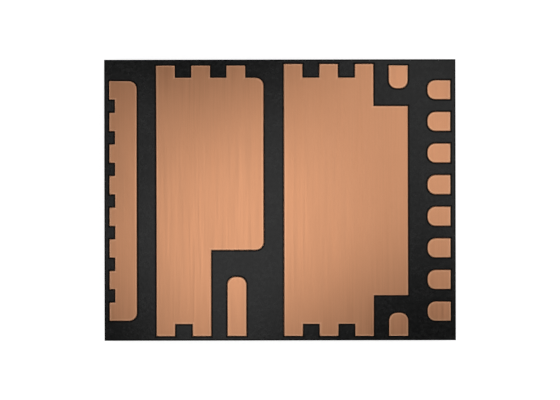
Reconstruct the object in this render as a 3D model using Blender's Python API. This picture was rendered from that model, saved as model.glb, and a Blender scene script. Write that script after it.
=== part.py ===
"""Leadless moulded power integrated circuit, lying on its plain face with its copper lands up.

Metres, +Z up. The origin is the middle of the plain face, on which the package lies. +X runs along
the long side, from the toothed strip land to the column of signal lands, and +Y along the short side.
A bumped silicon die hangs face to face under an etched copper leadframe, and black compound is
moulded round both. The block is then sawn out of its strip, through the tie bars of every land.
"""

import math

import bmesh
import bpy

MM = 0.001

# Moulded body, a sawn block
BODY_LENGTH = 5.0 * MM
BODY_WIDTH = 4.0 * MM
BODY_HEIGHT = 0.83 * MM

# Pin one dot, a shallow round dish in the plain face
DOT_DIAMETER = 0.4 * MM
DOT_DEPTH = 0.02 * MM
DOT_INSET = 0.5 * MM
DOT_SIDES = 32

# Copper sheet that the lands are etched from
FRAME_THICKNESS = 0.2 * MM
HALF_ETCH_DEPTH = 0.1 * MM
LAND_STANDOFF = 0.02 * MM
LAND_EDGE_ROUND = 0.01 * MM
MOLD_LOCK = 0.03 * MM
TIE_WIDTH = 0.15 * MM
TIE_ROOT = 0.06 * MM

# Outlines and spacing of the lands. The middle land and the top signal land are set back on the top side.
END_PULLBACK = 0.075 * MM
SIDE_PULLBACK = 0.066 * MM
TOP_SETBACK = 0.022 * MM
LAND_GAP = 0.277 * MM
POWER_GAP = 0.29 * MM
CORNER_RADIUS = 0.112 * MM
CORNER_SIDES = 5

# Signal lands: a row on the right side, and single ones on the long sides
SIGNAL_LENGTH = 0.327 * MM
SIGNAL_WIDTH = 0.272 * MM
SIGNAL_COUNT = 8
ROW_TOP_MARGIN = 0.299 * MM
ROW_BOTTOM_MARGIN = 0.279 * MM
LONG_SIGNAL_LENGTH = 0.842 * MM
LONG_SIGNAL_GAP = 0.229 * MM

# Power lands: the strip on the left, the stepped middle land and the wide right land
STRIP_WIDTH = 0.388 * MM
STRIP_TOOTH_WIDTH = 0.26 * MM
STRIP_TOOTH_LENGTH = 0.08 * MM
TOOTH_WIDTH = 0.265 * MM
TOOTH_LENGTH = 0.172 * MM
TOOTH_PITCH = 0.5 * MM
MIDDLE_WIDTH = 1.527 * MM
MIDDLE_LEG_WIDTH = 0.78 * MM
MIDDLE_TEETH_SETBACK = 0.26 * MM
MIDDLE_SHOULDER_GAP = 0.381 * MM
RIGHT_NOTCH_SIDE_GAP = 0.216 * MM
RIGHT_NOTCH_END_GAP = 0.25 * MM

# Silicon die, and the solder bumps that join it to the lands
DIE_END_WALL = 0.3 * MM
DIE_SIDE_WALL = 0.28 * MM
DIE_THICKNESS = 0.25 * MM
BUMP_HEIGHT = 0.08 * MM
BUMP_WIDTH = 0.13 * MM
BUMP_NECK_INSET = 0.012 * MM
BUMP_NECK_HEIGHT = 0.022 * MM
BUMP_EDGE_MARGIN = 0.1 * MM
BUMP_END_SIDES = 6
BAR_LENGTH = 0.4 * MM
BAR_MARGIN = 0.06 * MM

# Columns and rows of the oblong bumps over each block of the power lands
STRIP_BARS = (1, 4)
MIDDLE_BARS = (2, 3)
LEG_BARS = (1, 1)
RIGHT_BARS = (2, 4)
RIGHT_SIDE_BARS = (1, 3)

# Room between pieces that are moulded or soldered to each other
CLEARANCE = 0.005 * MM

# Twice the area of a corner flat enough to count as straight
STRAIGHT = 0.000001 * MM * MM

# Linear colour, roughness and metallic value of each material
MOLD_FINISH = ((0.032, 0.033, 0.034), 0.6, 0.0)
COPPER_FINISH = ((0.62, 0.29, 0.155), 0.38, 1.0)
SILICON_FINISH = ((0.11, 0.115, 0.13), 0.25, 0.6)
SOLDER_FINISH = ((0.52, 0.53, 0.54), 0.35, 1.0)

# Levels inside the body
LAND_FACE = BODY_HEIGHT + LAND_STANDOFF
ETCHED_FACE = LAND_FACE - HALF_ETCH_DEPTH
FRAME_BACK = LAND_FACE - FRAME_THICKNESS
DIE_FACE = FRAME_BACK - BUMP_HEIGHT
DIE_BACK = DIE_FACE - DIE_THICKNESS

# Places that neighbouring pieces share
END = BODY_LENGTH / 2
SIDE = BODY_WIDTH / 2
DIE_END = END - DIE_END_WALL
DIE_SIDE = SIDE - DIE_SIDE_WALL
OUTER_X = END - END_PULLBACK
OUTER_Y = SIDE - SIDE_PULLBACK
SET_BACK_Y = OUTER_Y - TOP_SETBACK
TOP_ROOT_Y = SET_BACK_Y - TOOTH_LENGTH
BOTTOM_ROOT_Y = OUTER_Y - TOOTH_LENGTH
SIGNAL_INNER_X = OUTER_X - SIGNAL_LENGTH
LONG_INNER_Y = OUTER_Y - LONG_SIGNAL_LENGTH
STRIP_RIGHT = STRIP_WIDTH - OUTER_X
MIDDLE_LEFT = STRIP_RIGHT + LAND_GAP
MIDDLE_RIGHT = MIDDLE_LEFT + MIDDLE_WIDTH
LEG_RIGHT = MIDDLE_LEFT + MIDDLE_LEG_WIDTH
SHOULDER_Y = MIDDLE_SHOULDER_GAP - LONG_INNER_Y
RIGHT_LEFT = MIDDLE_RIGHT + POWER_GAP
RIGHT_RIGHT = SIGNAL_INNER_X - LAND_GAP
RIGHT_NOTCH_X = RIGHT_RIGHT - SIGNAL_WIDTH - RIGHT_NOTCH_SIDE_GAP
RIGHT_NOTCH_TOP = SET_BACK_Y - SIGNAL_LENGTH - RIGHT_NOTCH_END_GAP
RIGHT_NOTCH_BOTTOM = SIGNAL_LENGTH + RIGHT_NOTCH_END_GAP - OUTER_Y
CORNER_SIGNAL_X = RIGHT_RIGHT - SIGNAL_WIDTH / 2
LONG_SIGNAL_X = LEG_RIGHT + LONG_SIGNAL_GAP + SIGNAL_WIDTH / 2
END_BUMP_X = DIE_END - BUMP_EDGE_MARGIN
SIDE_BUMP_Y = DIE_SIDE - BUMP_EDGE_MARGIN


def clear_scene():
    for thing in list(bpy.data.objects):
        bpy.data.objects.remove(thing, do_unlink=True)


def finish(piece, colour, roughness, metallic):
    """Gives the piece a plain material of its own."""
    surface = bpy.data.materials.new(piece.name + "_surface")
    surface.use_nodes = True
    shader = surface.node_tree.nodes["Principled BSDF"]
    shader.inputs["Base Color"].default_value = (*colour, 1.0)
    shader.inputs["Roughness"].default_value = roughness
    shader.inputs["Metallic"].default_value = metallic
    piece.data.materials.clear()
    piece.data.materials.append(surface)


def stack(name, levels):
    """A closed solid through outlines with the same number of points, from the lowest one up."""
    shape = bmesh.new()
    rings = [[shape.verts.new((x, y, height)) for x, y in outline] for outline, height in levels]
    shape.faces.new(reversed(rings[0]))
    shape.faces.new(rings[-1])
    for lower, upper in zip(rings, rings[1:]):
        for index, corner in enumerate(lower):
            after = (index + 1) % len(lower)
            shape.faces.new((corner, lower[after], upper[after], upper[index]))
    mesh = bpy.data.meshes.new(name)
    shape.to_mesh(mesh)
    shape.free()
    piece = bpy.data.objects.new(name, mesh)
    bpy.context.scene.collection.objects.link(piece)
    return piece


def combine(piece, tools, operation):
    """Unites the tools with the piece, or cuts them out of it, and then removes them."""
    group = bpy.data.collections.new(piece.name + "_tools")
    for tool in tools:
        group.objects.link(tool)
    boolean = piece.modifiers.new("Combine", "BOOLEAN")
    boolean.operand_type = "COLLECTION"
    boolean.collection = group
    boolean.operation = operation
    result = piece.evaluated_get(bpy.context.evaluated_depsgraph_get())
    mesh = bpy.data.meshes.new_from_object(result)
    piece.modifiers.clear()
    piece.data = mesh
    for tool in tools:
        bpy.data.objects.remove(tool, do_unlink=True)
    bpy.data.collections.remove(group)


def rectangle(left, right, low, high):
    return [(left, low), (right, low), (right, high), (left, high)]


def arc(centre, radius, start_angle, turn, sides):
    """Points along an arc, with both of its ends."""
    angles = [start_angle + turn * step / sides for step in range(sides + 1)]
    return [(centre[0] + radius * math.cos(angle), centre[1] + radius * math.sin(angle)) for angle in angles]


def round_corner(x, y, quadrant):
    """Quarter round of a corner that points to the given quadrant, counted from +X +Y."""
    angle = math.radians(90 * quadrant)
    centre = (x - CORNER_RADIUS * (math.cos(angle) - math.sin(angle)),
              y - CORNER_RADIUS * (math.sin(angle) + math.cos(angle)))
    return arc(centre, CORNER_RADIUS, angle, math.pi / 2, CORNER_SIDES)


def without_straight_points(points):
    """Drops doubled points, and points in the middle of a straight side."""
    kept = list(points)
    for point in points:
        index = kept.index(point)
        before_x, before_y = kept[index - 1]
        after_x, after_y = kept[(index + 1) % len(kept)]
        x, y = point
        if abs((x - before_x) * (after_y - y) - (y - before_y) * (after_x - x)) < STRAIGHT:
            kept.pop(index)
    return kept


def grown(points, distance):
    """The outline, which runs counterclockwise, with every side moved outwards."""
    moved = []
    for index, (x, y) in enumerate(points):
        before_x, before_y = points[index - 1]
        after_x, after_y = points[(index + 1) % len(points)]
        first = math.atan2(y - before_y, x - before_x)
        bend = math.remainder(math.atan2(after_y - y, after_x - x) - first, 2 * math.pi)
        outwards = first + bend / 2 - math.pi / 2
        reach = distance / math.cos(bend / 2)
        moved.append((x + reach * math.cos(outwards), y + reach * math.sin(outwards)))
    return moved


def on_side(outline, quarter_turns, across):
    """Turns an outline that points to +X to another side of the body, and shifts it along that side."""
    for _ in range(quarter_turns):
        outline = [(-y, x) for x, y in outline]
    if quarter_turns % 2:
        return [(x + across, y) for x, y in outline]
    return [(x, y + across) for x, y in outline]


def spread(start, end, count):
    """Evenly spaced places, the first at the start and the last at the end."""
    if count == 1:
        return [(start + end) / 2]
    return [start + (end - start) * index / (count - 1) for index in range(count)]


def teeth_between(left, right):
    """Centres of the teeth on a side, at about their pitch, with the outer ones flush with its ends."""
    span = right - left - TOOTH_WIDTH
    count = max(0, round(span / TOOTH_PITCH)) + 1
    return spread(left + TOOTH_WIDTH / 2, right - TOOTH_WIDTH / 2, count)


def toothed(centres, width, root, tip):
    """A side along X that steps out to a tip and back to its root at each tooth."""
    half = math.copysign(width / 2, root - tip)
    points = []
    for centre in centres:
        points += [(centre - half, root), (centre - half, tip), (centre + half, tip), (centre + half, root)]
    return points


ROW_ROOM = SIDE - SIGNAL_WIDTH / 2
ROWS = spread(ROW_BOTTOM_MARGIN - ROW_ROOM, ROW_ROOM - ROW_TOP_MARGIN, SIGNAL_COUNT)
MIDDLE_TOP_TEETH = teeth_between(MIDDLE_LEFT, MIDDLE_RIGHT - MIDDLE_TEETH_SETBACK)
MIDDLE_LEG_TEETH = teeth_between(MIDDLE_LEFT, LEG_RIGHT)
RIGHT_TEETH = teeth_between(RIGHT_LEFT, RIGHT_NOTCH_X)


def signal_outline(inner, outer):
    """A signal land that points to +X, square at its outer end and rounded at its inner one."""
    half = SIGNAL_WIDTH / 2
    return [(outer, -half), (outer, half), *round_corner(inner, half, 1), *round_corner(inner, -half, 2)]


def strip_outline(inner):
    """The strip land, with teeth at the rows of the signal lands opposite."""
    half = STRIP_TOOTH_WIDTH / 2
    places = [-row for row in reversed(ROWS)]
    teeth = toothed(places, STRIP_TOOTH_WIDTH, STRIP_TOOTH_LENGTH - OUTER_X, -OUTER_X)
    lying = teeth + round_corner(places[-1] + half, inner, 0) + round_corner(places[0] - half, inner, 1)
    return on_side(without_straight_points(lying), 3, 0)


def middle_outline():
    """The stepped middle land, whose leg runs down beside the long signal land."""
    foot = toothed(MIDDLE_LEG_TEETH, TOOTH_WIDTH, -BOTTOM_ROOT_Y, -OUTER_Y)
    step = [(LEG_RIGHT, -BOTTOM_ROOT_Y), (LEG_RIGHT, SHOULDER_Y)]
    right_side = round_corner(MIDDLE_RIGHT, SHOULDER_Y, 3) + round_corner(MIDDLE_RIGHT, TOP_ROOT_Y, 0)
    top = toothed(MIDDLE_TOP_TEETH[::-1], TOOTH_WIDTH, TOP_ROOT_Y, SET_BACK_Y)
    left_side = [(MIDDLE_LEFT, TOP_ROOT_Y), (MIDDLE_LEFT, -BOTTOM_ROOT_Y)]
    return without_straight_points(foot + step + right_side + top + left_side)


def right_outline():
    """The wide right land, notched at two corners round the single signal lands."""
    foot = toothed(RIGHT_TEETH, TOOTH_WIDTH, -BOTTOM_ROOT_Y, -OUTER_Y)
    top = toothed(RIGHT_TEETH[::-1], TOOTH_WIDTH, TOP_ROOT_Y, OUTER_Y)
    right_side = rectangle(RIGHT_NOTCH_X, RIGHT_RIGHT, RIGHT_NOTCH_BOTTOM, RIGHT_NOTCH_TOP)
    right_side = [(RIGHT_NOTCH_X, -BOTTOM_ROOT_Y), *right_side, (RIGHT_NOTCH_X, TOP_ROOT_Y)]
    left_side = [(RIGHT_LEFT, TOP_ROOT_Y), (RIGHT_LEFT, -BOTTOM_ROOT_Y)]
    return without_straight_points(foot + right_side + top + left_side)


def slot_outline(centre, width, length):
    """A slot along Y with round ends, which is a circle where its length is its width."""
    x, y = centre
    half_run = (length - width) / 2
    upper = arc((x, y + half_run), width / 2, 0, math.pi, BUMP_END_SIDES)
    lower = arc((x, y - half_run), width / 2, math.pi, math.pi, BUMP_END_SIDES)
    return without_straight_points(upper + lower)


def prism(name, outline, low, high):
    return stack(name, [(outline, low), (outline, high)])


def tie_outlines(ties):
    """Tie bars from the outer ends of a land to the sawn sides, each given by its side and place."""
    outlines = []
    for quarter_turns, across in ties:
        if quarter_turns % 2:
            edge, root = SIDE, SET_BACK_Y - TIE_ROOT
        else:
            edge, root = END, OUTER_X - TIE_ROOT
        bar = rectangle(root, edge, -TIE_WIDTH / 2, TIE_WIDTH / 2)
        outlines.append(on_side(bar, quarter_turns, across))
    return outlines


def etched_land(name, face_outline, back_outline, ties):
    """A land etched from both faces: its full outline, and half as thick a lock rim and tie bars."""
    rounded_face = grown(face_outline, -LAND_EDGE_ROUND)
    rounding = LAND_FACE - LAND_EDGE_ROUND
    land = stack(name, [(face_outline, FRAME_BACK), (face_outline, rounding), (rounded_face, LAND_FACE)])
    half_etched = [grown(back_outline, MOLD_LOCK), *tie_outlines(ties)]
    rims = [prism("half_etched", outline, FRAME_BACK, ETCHED_FACE) for outline in half_etched]
    combine(land, rims, "UNION")
    finish(land, *COPPER_FINISH)


def land_recess(face_outline, back_outline, ties):
    """What the compound leaves free for a land."""
    low = FRAME_BACK - CLEARANCE
    half_etched = [grown(back_outline, MOLD_LOCK), *tie_outlines(ties)]
    recess = [prism("recess", grown(face_outline, CLEARANCE), low, LAND_FACE)]
    for outline in half_etched:
        recess.append(prism("recess", grown(outline, CLEARANCE), low, ETCHED_FACE + CLEARANCE))
    return recess


def signal_land(quarter_turns, across, outer, length):
    """Outlines and tie of a signal land. Behind its face it reaches in to its bump under the die."""
    bump = SIDE_BUMP_Y if quarter_turns % 2 else END_BUMP_X
    inner = outer - length
    back_inner = min(inner, bump - BUMP_WIDTH / 2)
    face = on_side(signal_outline(inner, outer), quarter_turns, across)
    back = on_side(signal_outline(back_inner, outer), quarter_turns, across)
    return face, back, [(quarter_turns, across)]


def power_land_strip():
    back_inner = max(STRIP_RIGHT, BUMP_WIDTH / 2 - END_BUMP_X)
    return strip_outline(STRIP_RIGHT), strip_outline(back_inner), [(2, row) for row in ROWS]


def power_land_middle():
    ties = [(1, x) for x in MIDDLE_TOP_TEETH] + [(3, x) for x in MIDDLE_LEG_TEETH]
    return middle_outline(), middle_outline(), ties


def power_land_right():
    ties = [(side, x) for side in (1, 3) for x in RIGHT_TEETH]
    return right_outline(), right_outline(), ties


def all_lands():
    """Name, face outline, back outline and ties of every land."""
    lands = {
        "power_land_strip": power_land_strip(),
        "power_land_middle": power_land_middle(),
        "power_land_right": power_land_right(),
        "signal_land_top": signal_land(1, CORNER_SIGNAL_X, SET_BACK_Y, SIGNAL_LENGTH),
        "signal_land_bottom": signal_land(3, CORNER_SIGNAL_X, OUTER_Y, SIGNAL_LENGTH),
        "signal_land_long": signal_land(3, LONG_SIGNAL_X, OUTER_Y, LONG_SIGNAL_LENGTH),
    }
    for number, row in enumerate(ROWS, start=1):
        lands[f"signal_land_{number}"] = signal_land(0, row, OUTER_X, SIGNAL_LENGTH)
    return lands


def bars_over(block, columns, rows):
    """Centres of the oblong bumps over a block of a power land, from its left, right, low and high side."""
    left, right, low, high = block
    side_room = BAR_MARGIN + BUMP_WIDTH / 2
    end_room = BAR_MARGIN + BAR_LENGTH / 2
    across = spread(left + side_room, right - side_room, columns)
    along = spread(low + end_room, high - end_room, rows)
    return [(x, y) for x in across for y in along]


def all_bumps():
    """Name, centre and length of every bump. Round ones carry signals, and oblong ones carry power."""
    round_bumps = [(END_BUMP_X, row) for row in ROWS]
    round_bumps += [(CORNER_SIGNAL_X, SIDE_BUMP_Y), (CORNER_SIGNAL_X, -SIDE_BUMP_Y)]
    round_bumps += [(LONG_SIGNAL_X, -SIDE_BUMP_Y), (LONG_SIGNAL_X, -LONG_INNER_Y - SIGNAL_WIDTH / 2)]
    bars = bars_over((-END_BUMP_X, -END_BUMP_X, -DIE_SIDE, DIE_SIDE), *STRIP_BARS)
    bars += bars_over((MIDDLE_LEFT, MIDDLE_RIGHT, SHOULDER_Y, DIE_SIDE), *MIDDLE_BARS)
    bars += bars_over((MIDDLE_LEFT, LEG_RIGHT, -DIE_SIDE, SHOULDER_Y), *LEG_BARS)
    bars += bars_over((RIGHT_LEFT, RIGHT_NOTCH_X, -DIE_SIDE, DIE_SIDE), *RIGHT_BARS)
    bars += bars_over((RIGHT_NOTCH_X, RIGHT_RIGHT, RIGHT_NOTCH_BOTTOM, RIGHT_NOTCH_TOP), *RIGHT_SIDE_BARS)
    bumps = []
    for kind, centres, length in (("signal", round_bumps, BUMP_WIDTH), ("power", bars, BAR_LENGTH)):
        for number, centre in enumerate(centres, start=1):
            bumps.append((f"{kind}_bump_{number}", centre, length))
    return bumps


def solder_bump(name, centre, length):
    """A reflowed bump, drawn in where it wets the die and the land."""
    low = DIE_FACE + CLEARANCE
    high = FRAME_BACK - CLEARANCE
    belly = slot_outline(centre, BUMP_WIDTH, length)
    neck = grown(belly, -BUMP_NECK_INSET)
    levels = [(neck, low), (belly, low + BUMP_NECK_HEIGHT), (belly, high - BUMP_NECK_HEIGHT), (neck, high)]
    finish(stack(name, levels), *SOLDER_FINISH)


def molded_body(lands, bumps):
    """The sawn block of compound, with the hollows that everything in it fills."""
    body = prism("molded_body", rectangle(-END, END, -SIDE, SIDE), 0, BODY_HEIGHT)
    dot_centre = (END - DOT_INSET, DOT_INSET - SIDE)
    dot = arc(dot_centre, DOT_DIAMETER / 2, 0, 2 * math.pi, DOT_SIDES)[:-1]
    hollows = [prism("dot", dot, -DOT_DEPTH, DOT_DEPTH)]
    die = grown(rectangle(-DIE_END, DIE_END, -DIE_SIDE, DIE_SIDE), CLEARANCE)
    hollows.append(prism("die_pocket", die, DIE_BACK - CLEARANCE, DIE_FACE + CLEARANCE))
    for land in lands:
        hollows += land_recess(*land)
    for _, centre, length in bumps:
        bore = grown(slot_outline(centre, BUMP_WIDTH, length), CLEARANCE)
        hollows.append(prism("bump_bore", bore, DIE_FACE, FRAME_BACK))
    combine(body, hollows, "DIFFERENCE")
    finish(body, *MOLD_FINISH)


def silicon_die():
    outline = rectangle(-DIE_END, DIE_END, -DIE_SIDE, DIE_SIDE)
    finish(prism("silicon_die", outline, DIE_BACK, DIE_FACE), *SILICON_FINISH)


clear_scene()
LANDS = all_lands()
BUMPS = all_bumps()
molded_body(LANDS.values(), BUMPS)
silicon_die()
for land_name, land_shape in LANDS.items():
    etched_land(land_name, *land_shape)
for bump_name, bump_centre, bump_length in BUMPS:
    solder_bump(bump_name, bump_centre, bump_length)
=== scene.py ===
import math

import bmesh
import bpy
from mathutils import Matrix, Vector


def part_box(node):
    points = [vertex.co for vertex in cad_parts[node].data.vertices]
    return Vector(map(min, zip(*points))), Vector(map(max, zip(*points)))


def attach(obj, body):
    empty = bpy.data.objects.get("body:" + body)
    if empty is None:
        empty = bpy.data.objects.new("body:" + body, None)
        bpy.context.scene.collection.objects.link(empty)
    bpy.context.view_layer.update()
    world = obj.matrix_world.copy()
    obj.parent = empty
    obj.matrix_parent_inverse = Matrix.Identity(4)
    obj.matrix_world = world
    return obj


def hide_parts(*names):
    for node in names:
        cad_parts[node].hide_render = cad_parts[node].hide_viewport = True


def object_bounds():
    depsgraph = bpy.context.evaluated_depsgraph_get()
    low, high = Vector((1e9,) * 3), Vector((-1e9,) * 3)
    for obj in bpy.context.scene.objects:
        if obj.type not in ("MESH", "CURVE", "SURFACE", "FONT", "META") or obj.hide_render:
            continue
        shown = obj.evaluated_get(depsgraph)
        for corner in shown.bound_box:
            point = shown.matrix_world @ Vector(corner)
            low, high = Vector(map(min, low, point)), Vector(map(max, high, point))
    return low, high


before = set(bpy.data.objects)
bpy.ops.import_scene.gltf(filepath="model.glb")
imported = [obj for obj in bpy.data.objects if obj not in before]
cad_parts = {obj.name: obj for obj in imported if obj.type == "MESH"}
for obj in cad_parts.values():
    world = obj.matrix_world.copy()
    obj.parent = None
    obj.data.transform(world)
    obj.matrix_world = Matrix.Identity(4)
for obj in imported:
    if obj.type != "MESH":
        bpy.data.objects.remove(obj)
packed_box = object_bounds()
MM = 0.001


# Copper lands. One sheet of copper is etched from both faces into fourteen lands, whose faces stand a
# little proud of the compound. The etch rounds every edge and corner. A paler rim round each face, and the
# sides, are a painted highlight of the light that the rounded edge catches. The rolled face keeps fine
# lines along Y.
BODY_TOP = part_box("molded_body")[1].z
LAND_EDGE_ROUND = 0.0015 * MM
LAND_CORNER_ROUND = 0.005 * MM
LAND_RIM = 0.022 * MM
ROUND_STEPS = 2
CORNER_RISE = 0.009 * MM
MERGE_DISTANCE = 0.0001 * MM
FLAT_ANGLE = math.radians(0.5)
SQUARE_ANGLE = math.radians(60)
SMOOTH_ANGLE = math.radians(35)
LEVEL = 0.9999
SPOT_FADE = (0.35, 0.65)
ROUGH_FADE = (0.3, 0.7)
FINE_DETAIL = 3
COPPER_ROUGH = (0.30, 0.40)
COPPER_LINES_PER_MM = (42, 0.9, 5)
COPPER_LINE_BREAKUP = 0.6
COPPER_LINE_DEPTH = 0.0006 * MM
COPPER_LINE_STRENGTH = 0.6
COPPER_BANDS_PER_MM = (5, 0.35, 1)
COPPER_BAND_SHARE = 0.35
COPPER_PATCHES_PER_MM = (1.4, 1.0, 1.0)
COPPER_PATCH_FADE = (0.4, 0.7)
COPPER_PATCH_SHARE = 0.25
POWER_BRIGHT = (0.824, 0.397, 0.216, 1)
POWER_DULL = (0.762, 0.355, 0.188, 1)
# The rim colours are a paler copper, painted as the highlight that the rounded etched edge catches.
POWER_RIM_HIGHLIGHT = (0.966, 0.505, 0.293, 1)
SIGNAL_BRIGHT = (0.873, 0.420, 0.229, 1)
SIGNAL_DULL = (0.807, 0.376, 0.199, 1)
SIGNAL_RIM_HIGHLIGHT = (0.995, 0.527, 0.305, 1)


def new_surface(name):
    """A material with only its shader and its output."""
    surface = bpy.data.materials.new(name)
    surface.use_nodes = True
    return surface


def node(surface, kind, inputs=None, **settings):
    """Adds a node. Each of its inputs is set to a value, or linked to another node's output."""
    made = surface.node_tree.nodes.new("ShaderNode" + kind)
    for name, value in settings.items():
        setattr(made, name, value)
    fill(surface, made, inputs or {})
    return made


def fill(surface, made, inputs):
    for name, value in inputs.items():
        put(surface, made.inputs[name], value)


def put(surface, socket, value):
    """Sets a socket to a value, or links it to another node's output."""
    if isinstance(value, bpy.types.NodeSocket):
        surface.node_tree.links.new(value, socket)
    else:
        socket.default_value = value


def shader(surface, **inputs):
    """Finishes a material. The inputs carry the names of the shader's own, with _ for each space."""
    fill(surface, surface.node_tree.nodes["Principled BSDF"],
         {name.replace("_", " "): value for name, value in inputs.items()})


def place_on(surface):
    """The place of each point on the piece."""
    return node(surface, "TexCoord").outputs["Object"]


def grain(surface, place, per_mm, detail=2, breakup=0.5):
    """Noise with the given number of spots for each millimetre along X, Y and Z."""
    spots = node(surface, "Mapping", {"Vector": place, "Scale": [count / MM for count in per_mm]})
    noise = node(surface, "TexNoise", {"Vector": spots.outputs["Vector"], "Scale": 1.0, "Detail": detail,
                                       "Roughness": breakup})
    return noise.outputs["Fac"]


def fade(surface, value, span, ends=(0, 1)):
    """Goes from one end to the other while the value goes through the span, and holds past it."""
    faded = node(surface, "MapRange", {"Value": value, "From Min": span[0], "From Max": span[1],
                                       "To Min": ends[0], "To Max": ends[1]})
    return faded.outputs["Result"]


def blend(surface, share, first, second):
    """The first colour where the share is nothing, and the second where it is one."""
    mixed = node(surface, "Mix", data_type="RGBA")
    values = {"Factor": share, "A": first, "B": second}
    for socket in mixed.inputs:
        if socket.enabled and socket.name in values:
            put(surface, socket, values[socket.name])
    return next(socket for socket in mixed.outputs if socket.enabled)


def relief(surface, height, depth, strength=1.0):
    """Fine relief whose highest points stand the given depth above its lowest."""
    bump = node(surface, "Bump", {"Height": height, "Distance": depth, "Strength": strength})
    return bump.outputs["Normal"]


def copper_surface(name, bright, dull, rim):
    """Bare copper with rolling lines, brighter bands and duller patches, and a painted highlight on its rim.
    """
    surface = new_surface(name)
    place = place_on(surface)
    lines = grain(surface, place, COPPER_LINES_PER_MM, FINE_DETAIL, COPPER_LINE_BREAKUP)
    bands = grain(surface, place, COPPER_BANDS_PER_MM)
    patches = grain(surface, place, COPPER_PATCHES_PER_MM)
    rim_highlight_share = node(surface, "Attribute", attribute_name="rim").outputs["Fac"]
    tone = blend(surface, fade(surface, lines, SPOT_FADE), dull, bright)
    tone = blend(surface, fade(surface, bands, SPOT_FADE, (0, COPPER_BAND_SHARE)), tone, bright)
    tone = blend(surface, fade(surface, patches, COPPER_PATCH_FADE, (0, COPPER_PATCH_SHARE)), tone, dull)
    # Painted highlight: the rim and the sides take the paler rim colour.
    tone = blend(surface, rim_highlight_share, tone, rim)
    shader(surface, Base_Color=tone, Metallic=1.0,
           Roughness=fade(surface, lines, ROUGH_FADE, COPPER_ROUGH),
           Normal=relief(surface, lines, COPPER_LINE_DEPTH, COPPER_LINE_STRENGTH))
    return surface


def select_edges(piece, wanted):
    bpy.ops.mesh.select_mode(type="EDGE")
    bpy.ops.mesh.select_all(action="DESELECT")
    mesh = bmesh.from_edit_mesh(piece.data)
    for edge in mesh.edges:
        if wanted(edge):
            edge.select_set(True)
    bmesh.update_edit_mesh(piece.data)


def select_faces(piece, wanted):
    bpy.ops.mesh.select_mode(type="FACE")
    mesh = bmesh.from_edit_mesh(piece.data)
    for side in mesh.faces:
        side.select_set(wanted(side))
    bmesh.update_edit_mesh(piece.data)


def merged_copy(node_name, piece_name):
    """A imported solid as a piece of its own, in edit mode, with its loose triangles merged to whole faces."""
    piece = bpy.data.objects.new(piece_name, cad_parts[node_name].data.copy())
    bpy.context.scene.collection.objects.link(piece)
    piece.data.materials.clear()
    bpy.ops.object.select_all(action="DESELECT")
    bpy.context.view_layer.objects.active = piece
    piece.select_set(True)
    bpy.ops.object.mode_set(mode="EDIT")
    bpy.ops.mesh.select_mode(type="EDGE")
    bpy.ops.mesh.select_all(action="SELECT")
    bpy.ops.mesh.remove_doubles(threshold=MERGE_DISTANCE)
    bpy.ops.mesh.dissolve_limited(angle_limit=FLAT_ANGLE)
    return piece


def is_level(side):
    return abs(side.normal.z) > LEVEL


def is_proud(side):
    """Whether a side is the face of a land that stands above the compound."""
    return is_level(side) and side.calc_center_median().z > BODY_TOP


def is_upright_corner(edge):
    """Whether an edge runs up a sharp corner of a land to its proud face."""
    low, high = sorted(vertex.co.z for vertex in edge.verts)
    return high > BODY_TOP and high - low > CORNER_RISE and edge.calc_face_angle(0) > SQUARE_ANGLE


def is_face_edge(edge):
    """Whether an edge runs round the proud face of a land."""
    low, high = sorted(vertex.co.z for vertex in edge.verts)
    return low > BODY_TOP and high - low < MERGE_DISTANCE and edge.calc_face_angle(0) > FLAT_ANGLE


def on_outline(vertex):
    """Whether a point lies where a broad face ends, or past it."""
    return not all(is_level(side) for side in vertex.link_faces)


def mark_rim(piece):
    """Gives each point a share of rim, where the copper paints its highlight: one on the outline of a broad
    face and past it, and none inside.
    """
    mesh = bmesh.from_edit_mesh(piece.data)
    rim = mesh.verts.layers.float.new("rim")
    for vertex in mesh.verts:
        vertex[rim] = on_outline(vertex)
    bmesh.update_edit_mesh(piece.data)


def smooth_edges(piece):
    """Shades the rounded edges smooth, and leaves the broad faces flat right up to their outlines."""
    bpy.ops.object.mode_set(mode="OBJECT")
    bpy.ops.mesh.customdata_custom_splitnormals_clear()
    bpy.ops.object.shade_smooth_by_angle(angle=SMOOTH_ANGLE)
    bpy.ops.object.mode_set(mode="EDIT")
    select_faces(piece, is_level)
    bpy.ops.mesh.set_normals_from_faces(keep_sharp=True)
    bpy.ops.object.mode_set(mode="OBJECT")


def etched_land(node_name, copper):
    """Dresses one land: a rim round its face, and its corners and edges slightly rounded."""
    piece = merged_copy(node_name, node_name + "_copper")
    select_faces(piece, is_proud)
    bpy.ops.mesh.inset(thickness=LAND_RIM, use_even_offset=True)
    select_edges(piece, is_upright_corner)
    bpy.ops.mesh.bevel(offset=LAND_CORNER_ROUND, segments=ROUND_STEPS, affect="EDGES")
    select_edges(piece, is_face_edge)
    bpy.ops.mesh.bevel(offset=LAND_EDGE_ROUND, segments=ROUND_STEPS, affect="EDGES")
    mark_rim(piece)
    smooth_edges(piece)
    piece.data.materials.append(copper)
    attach(piece, "root")
    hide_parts(node_name)


power_copper = copper_surface("power_land_copper", POWER_BRIGHT, POWER_DULL, POWER_RIM_HIGHLIGHT)
signal_copper = copper_surface("signal_land_copper", SIGNAL_BRIGHT, SIGNAL_DULL, SIGNAL_RIM_HIGHLIGHT)
for land in sorted(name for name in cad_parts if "_land_" in name):
    etched_land(land, power_copper if land.startswith("power") else signal_copper)


# Solder bumps. Tin solder is plated on the die as short posts and reflowed, which joins the die to the
# backs of the lands. The bumps freeze with a bright, slightly frosted skin.
SOLDER_BRIGHT = (0.60, 0.61, 0.62, 1)
SOLDER_DULL = (0.42, 0.43, 0.45, 1)
SOLDER_ROUGH = (0.22, 0.40)
FROST_PER_MM = (90, 90, 90)
FROST_DEPTH = 0.0004 * MM

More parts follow.
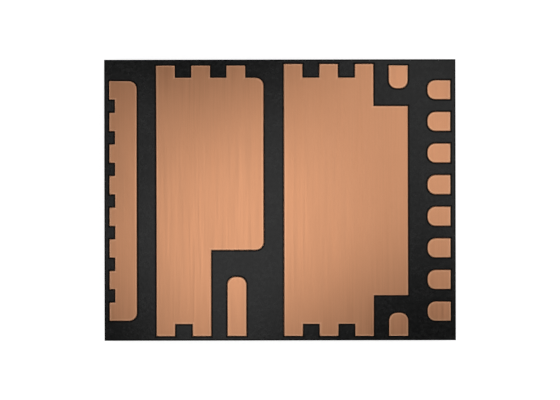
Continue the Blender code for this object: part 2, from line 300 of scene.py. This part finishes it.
solder = new_surface("reflowed_solder")
frost = grain(solder, place_on(solder), FROST_PER_MM, FINE_DETAIL)
skin = blend(solder, fade(solder, frost, SPOT_FADE), SOLDER_DULL, SOLDER_BRIGHT)
shader(solder, Base_Color=skin, Metallic=1.0, Roughness=fade(solder, frost, ROUGH_FADE, SOLDER_ROUGH),
       Normal=relief(solder, frost, FROST_DEPTH))
for name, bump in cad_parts.items():
    if "_bump_" in name:
        bump.material_slots[0].material = solder


# Silicon die. A slip of silicon hangs under the lands with its circuit side towards them. That side has
# blocks of circuit under a glassy skin, and the back keeps the fine lines of the grinding wheel.
SILICON_GREY = (0.105, 0.112, 0.130, 1)
SILICON_DARK = (0.070, 0.075, 0.092, 1)
SILICON_METALLIC = 0.55
SILICON_ROUGH = (0.20, 0.34)
CIRCUIT_TINT = (0.150, 0.120, 0.105, 1)
CIRCUIT_BLOCK = 0.32 * MM
CIRCUIT_SCATTER = 0.7
CIRCUIT_FADE = (0.1, 0.5)
GRINDING_PER_MM = (60, 1.2, 4)
GRINDING_DEPTH = 0.0003 * MM
TILT_FADE = (0.4, 0.6)


def facing_up(surface):
    """How far the surface faces up: one on top, nothing on an upright side and minus one below."""
    normal = node(surface, "TexCoord").outputs["Normal"]
    return node(surface, "SeparateXYZ", {"Vector": normal}).outputs["Z"]


silicon = new_surface("ground_silicon")
die_place = place_on(silicon)
grinding = grain(silicon, die_place, GRINDING_PER_MM, FINE_DETAIL)
blocks = node(silicon, "TexVoronoi", {"Vector": die_place, "Scale": 1 / CIRCUIT_BLOCK,
                                      "Randomness": CIRCUIT_SCATTER}, distance="CHEBYCHEV")
block_edge = fade(silicon, blocks.outputs["Distance"], CIRCUIT_FADE)
circuit = blend(silicon, block_edge, CIRCUIT_TINT, SILICON_DARK)
ground_back = blend(silicon, fade(silicon, grinding, SPOT_FADE), SILICON_DARK, SILICON_GREY)
circuit_side = fade(silicon, facing_up(silicon), TILT_FADE)
shader(silicon, Base_Color=blend(silicon, circuit_side, ground_back, circuit), Metallic=SILICON_METALLIC,
       Roughness=fade(silicon, grinding, ROUGH_FADE, SILICON_ROUGH),
       Normal=relief(silicon, grinding, GRINDING_DEPTH))
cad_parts["silicon_die"].material_slots[0].material = silicon


# Moulded body. Black epoxy filled with fine silica is moulded round the die and the lands, and the block
# is sawn to size. Its two broad faces are satin. A dull dark line of painted shade runs along each land
# and each sawn edge and round the dot, though the faces stay flat there. The four sides have fine lines
# along the cut, and show the cut filler grains as pale specks.
PLAIN_FACE = 0.0 * MM
DOT_FLOOR = 0.02 * MM
PAINTED_SHADE_WIDTH = 0.018 * MM
EPOXY_BLACK = (0.0004, 0.0006, 0.0006, 1)
EPOXY_GREY = (0.0140, 0.0143, 0.0142, 1)
EPOXY_SHINE = 0.345
EPOXY_ROUGH = 0.25
# Painted shade: the line along each outline takes a near-black, duller compound in place of a real groove.
PAINTED_SHADE_BLACK = (0.0003, 0.0003, 0.0003, 1)
PAINTED_SHADE_GREY = (0.0010, 0.0011, 0.0011, 1)
PAINTED_SHADE_SHINE = 0.15
PAINTED_SHADE_ROUGH = 0.40
SPECKLES_PER_MM = (18, 18, 18)
SPECKLE_BREAKUP = 0.65
SPECKLE_DEPTH = 0.0022 * MM
SPECKLE_STRENGTH = 0.5
CLOUDS_PER_MM = (5, 5, 5)
CLOUD_FADE = (0.4, 0.6)
CLOUD_SHARE = 0.45
SAWN_BLACK = (0.0055, 0.0059, 0.0061, 1)
SAWN_GREY = (0.0110, 0.0117, 0.0120, 1)
SAWN_ROUGH = 0.62
SAW_LINES_PER_MM = (1.5, 1.5, 130)
FILLER_PALE = (0.110, 0.112, 0.110, 1)
FILLER_GRAINS_PER_MM = 34
FILLER_SCATTER = 1.0
FILLER_FADE = (0.18, 0.30)
FILLER_SHARE = 0.8


def epoxy_surface(name, black, grey, shine, rough):
    """Satin compound where a face is level, and sawn compound where it is upright."""
    surface = new_surface(name)
    place = place_on(surface)
    speckle = grain(surface, place, SPECKLES_PER_MM, FINE_DETAIL, SPECKLE_BREAKUP)
    cloud = grain(surface, place, CLOUDS_PER_MM)
    molded = blend(surface, fade(surface, speckle, SPOT_FADE), black, grey)
    molded = blend(surface, fade(surface, cloud, CLOUD_FADE, (0, CLOUD_SHARE)), molded, black)
    saw_lines = grain(surface, place, SAW_LINES_PER_MM)
    filler = node(surface, "TexVoronoi", {"Vector": place, "Scale": FILLER_GRAINS_PER_MM / MM,
                                          "Randomness": FILLER_SCATTER})
    cut_grain = fade(surface, filler.outputs["Distance"], FILLER_FADE, (FILLER_SHARE, 0))
    sawn = blend(surface, fade(surface, saw_lines, SPOT_FADE), SAWN_BLACK, SAWN_GREY)
    sawn = blend(surface, cut_grain, sawn, FILLER_PALE)
    level = node(surface, "Math", {0: facing_up(surface)}, operation="ABSOLUTE").outputs[0]
    broad = fade(surface, level, TILT_FADE)
    shader(surface, Base_Color=blend(surface, broad, sawn, molded), Specular_IOR_Level=shine,
           Roughness=fade(surface, broad, (0, 1), (SAWN_ROUGH, rough)),
           Normal=relief(surface, speckle, SPECKLE_DEPTH, SPECKLE_STRENGTH))
    return surface


def refilled_rim(piece, level):
    """Insets all broad faces at one level by the painted shade line's width, and fills what lies inside it
    afresh.
    """
    def at_level(side):
        return is_level(side) and abs(side.calc_center_median().z - level) < MERGE_DISTANCE

    select_faces(piece, at_level)
    bpy.ops.mesh.inset(thickness=PAINTED_SHADE_WIDTH, use_even_offset=True)
    bpy.ops.mesh.delete(type="FACE")
    select_edges(piece, lambda edge: edge.is_boundary)
    bpy.ops.mesh.fill(use_beauty=True)


compound = epoxy_surface("molding_compound", EPOXY_BLACK, EPOXY_GREY, EPOXY_SHINE, EPOXY_ROUGH)
painted_shade_compound = epoxy_surface("painted_shade_compound", PAINTED_SHADE_BLACK, PAINTED_SHADE_GREY, PAINTED_SHADE_SHINE, PAINTED_SHADE_ROUGH)
body = merged_copy("molded_body", "molded_body_epoxy")
for level in (PLAIN_FACE, DOT_FLOOR, BODY_TOP):
    refilled_rim(body, level)
bpy.ops.mesh.select_all(action="SELECT")
bpy.ops.mesh.normals_make_consistent(inside=False)
body.data.materials.append(compound)
body.data.materials.append(painted_shade_compound)
# The ring of faces along each outline takes the compound with painted shade.
body.active_material_index = body.data.materials.find(painted_shade_compound.name)
select_faces(body, lambda side: is_level(side) and any(on_outline(vertex) for vertex in side.verts))
bpy.ops.object.material_slot_assign()
smooth_edges(body)
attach(body, "root")
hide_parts("molded_body")


# Table. A plain sheet of white acrylic carries the package. It is lit softly from below, so that the
# package throws no hard shadow.
TABLE_SIZE = 400 * MM
TABLE_GAP = 0.002 * MM
TABLE_WHITE = (0.80, 0.80, 0.80, 1)
TABLE_ROUGH = 0.6
TABLE_GLOW = 1.0

bpy.ops.object.select_all(action="DESELECT")
bpy.ops.mesh.primitive_plane_add(size=TABLE_SIZE, location=(0, 0, -TABLE_GAP))
bpy.ops.object.transform_apply(location=True)
table = bpy.context.object
table.name = "table"
acrylic = new_surface("white_acrylic")
shader(acrylic, Base_Color=TABLE_WHITE, Roughness=TABLE_ROUGH, Emission_Color=TABLE_WHITE,
       Emission_Strength=TABLE_GLOW)
table.data.materials.append(acrylic)


# Light. Three small soft boxes hang over the package. The main one is near its middle and lays a broad
# bright band on it, a long one past +X lifts that side, and the smallest lifts the corner at -X and +Y.
# The room is brightest a quarter of the way up, and dims towards the horizon and overhead.
LAMP_HEIGHT = 8.0 * MM
LAMP_TURN = math.radians(35.2)
MAIN_LAMP = {"place": (-0.68 * MM, -0.63 * MM), "size": (4.96 * MM, 4.06 * MM), "radiance": 1.255}
SIDE_LAMP = {"place": (3.87 * MM, 0.84 * MM), "size": (2.93 * MM, 8.0 * MM), "radiance": 1.0}
CORNER_LAMP = {"place": (-2.84 * MM, 1.61 * MM), "size": (1.0 * MM, 1.57 * MM), "radiance": 1.51}
ROOM_WHITE = (1, 1, 1, 1)
ROOM_OVERHEAD = 0.04
ROOM_HORIZON = 0.15
OVERHEAD_FADE = (0.35, 0.85)
HORIZON_FADE = (0.0, 0.5)


def soft_box(name, place, size, radiance):
    """Hangs a lamp over the package that lights it and stays out of the camera's sight."""
    data = bpy.data.lights.new(name, "AREA")
    data.shape = "RECTANGLE"
    data.size, data.size_y = size
    data.energy = radiance * math.pi * size[0] * size[1]
    lamp = bpy.data.objects.new(name, data)
    lamp.location = (*place, BODY_TOP + LAMP_HEIGHT)
    lamp.rotation_euler = (0, 0, LAMP_TURN)
    lamp.visible_camera = False
    bpy.context.scene.collection.objects.link(lamp)


soft_box("main_lamp", **MAIN_LAMP)
soft_box("side_lamp", **SIDE_LAMP)
soft_box("corner_lamp", **CORNER_LAMP)

room = bpy.data.worlds.new("room")
room.use_nodes = True
direction = node(room, "TexCoord").outputs["Generated"]
height = node(room, "SeparateXYZ", {"Vector": direction}).outputs["Z"]
upper = fade(room, height, OVERHEAD_FADE, (1, ROOM_OVERHEAD))
lower = fade(room, height, HORIZON_FADE, (ROOM_HORIZON, 1))
glow = node(room, "Math", {0: upper, 1: lower}, operation="MULTIPLY").outputs[0]
fill(room, room.node_tree.nodes["Background"], {"Color": ROOM_WHITE, "Strength": glow})
bpy.context.scene.world = room
bpy.context.scene.view_settings.view_transform = "Standard"


# Camera. It looks straight down on the lands, as the photograph does, from the height at which the view
# is as wide as the photograph, and is turned by the small angle that the package has there.
VIEW_WIDTH = 7.9625 * MM
VIEW_TURN = math.radians(-0.11)
LENS_LENGTH = 100
SENSOR_WIDTH = 36
NEAREST = 1 * MM
FARTHEST = 1000 * MM

camera_data = bpy.data.cameras.new("camera")
camera_data.lens = LENS_LENGTH
camera_data.sensor_width = SENSOR_WIDTH
camera_data.clip_start = NEAREST
camera_data.clip_end = FARTHEST
camera = bpy.data.objects.new("camera", camera_data)
camera.location = (0, 0, packed_box[1].z + VIEW_WIDTH * LENS_LENGTH / SENSOR_WIDTH)
camera.rotation_euler = (0, 0, VIEW_TURN)
bpy.context.scene.collection.objects.link(camera)
bpy.context.scene.camera = camera
